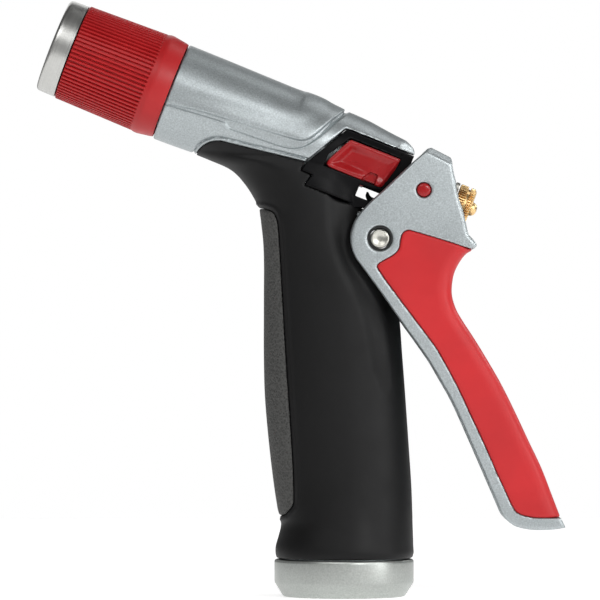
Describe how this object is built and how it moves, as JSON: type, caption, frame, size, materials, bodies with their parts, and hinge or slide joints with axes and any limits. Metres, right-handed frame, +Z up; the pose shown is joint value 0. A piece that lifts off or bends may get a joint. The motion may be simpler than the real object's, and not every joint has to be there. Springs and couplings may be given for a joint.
{
  "type": "garden hose nozzle",
  "caption": "Metal garden hose nozzle with a pistol handle, a twist spray head, a rear squeeze lever with an adjusting nut, a hold-open slide and a threaded hose collar.",
  "frame": {"origin": "middle of the bounding box's bottom, on the plane that the hose collar stands on", "axes": "+Z up along the handle, -X the way the spray head points, +X the lever's side; Y = 0 is the symmetry plane"},
  "size_m": [0.15, 0.0398, 0.1691],
  "materials": {
    "zinc_paint": "satin silver paint with a fine metallic grain",
    "collar_metal": "satin light metal",
    "grip_rubber": "satin moulded rubber",
    "pad_rubber": "fine leather texture",
    "brushed_steel": "brushed round the ring",
    "red_grip": "fluted, satin",
    "red_plastic": "satin gloss",
    "red_pad": "soft satin",
    "black_gloss": "glossy",
    "black_plastic": "satin",
    "pin_steel": "plain steel",
    "brass": "machined",
    "seal_rubber": "matt"
  },
  "bodies": {
    "body": {"body_casting": "zinc_paint", "grip_sleeve": "grip_rubber", "grip_pad": "pad_rubber", "hose_collar": "collar_metal", "hose_washer": "seal_rubber", "rear_housing": "black_gloss", "valve_seat": "brass", "gland_nut": "brass", "stem_packing": "seal_rubber", "pivot_pin": "pin_steel", "return_spring": "pin_steel", "head_snap_ring": "pin_steel"},
    "head": {"bezel_ring": "brushed_steel", "head_grip": "red_grip", "head_hub": "black_plastic"},
    "throat": {"throat_sleeve": "black_plastic", "throat_o_ring": "seal_rubber"},
    "stem": {"valve_stem": "brass", "valve_plug": "seal_rubber", "plug_retainer": "brass", "spray_cone": "brass", "thrust_washer": "pin_steel"},
    "nut": {"adjusting_nut": "brass"},
    "lever": {"lever": "zinc_paint", "lever_pad": "red_pad", "latch_hook": "black_plastic", "pin_bush_left": "black_plastic", "pin_bush_right": "black_plastic"},
    "yoke": {"stem_yoke": "red_plastic"},
    "lock": {"lock_slide": "red_plastic"}
  },
  "joints": [
    {"name": "lever_squeeze", "type": "hinge", "parent": "body", "child": "lever", "pos_m": [0.0225, 0, 0.1017], "axis": [0, 1, 0], "range_deg": [0, 17], "stiffness_Nm_per_rad": 1.2, "springref_deg": -17.19},
    {"name": "stem_pull", "type": "slide", "parent": "body", "child": "stem", "axis": [0.9304, 0, -0.3665], "range_m": [0, 0.00485], "deforming": ["return_spring"]},
    {"name": "yoke_turn", "type": "hinge", "parent": "lever", "child": "yoke", "pos_m": [0.0349, 0, 0.1154], "axis": [0, -1, 0], "range_deg": [0, 17.1]},
    {"name": "nut_turn", "type": "hinge", "parent": "stem", "child": "nut", "pos_m": [0.04595, 0, 0.1113], "axis": [0.9304, 0, -0.3665], "continuous": true},
    {"name": "head_turn", "type": "hinge", "parent": "body", "child": "head", "pos_m": [-0.07035, 0, 0.1571], "axis": [0.9304, 0, -0.3665], "range_deg": [0, 270]},
    {"name": "throat_slide", "type": "slide", "parent": "body", "child": "throat", "axis": [-0.9304, 0, 0.3665], "range_m": [0, 0.003]},
    {"name": "lock_slide", "type": "slide", "parent": "body", "child": "lock", "axis": [0.9304, 0, -0.3665], "range_m": [0, 0.0045]}
  ],
  "couplings": [
    {"joint": "stem_pull", "follows": "lever_squeeze", "m_per_rad": 0.0163},
    {"joint": "yoke_turn", "follows": "lever_squeeze", "ratio": 1},
    {"joint": "throat_slide", "follows": "head_turn", "m_per_rad": 0.000636}
  ]
}
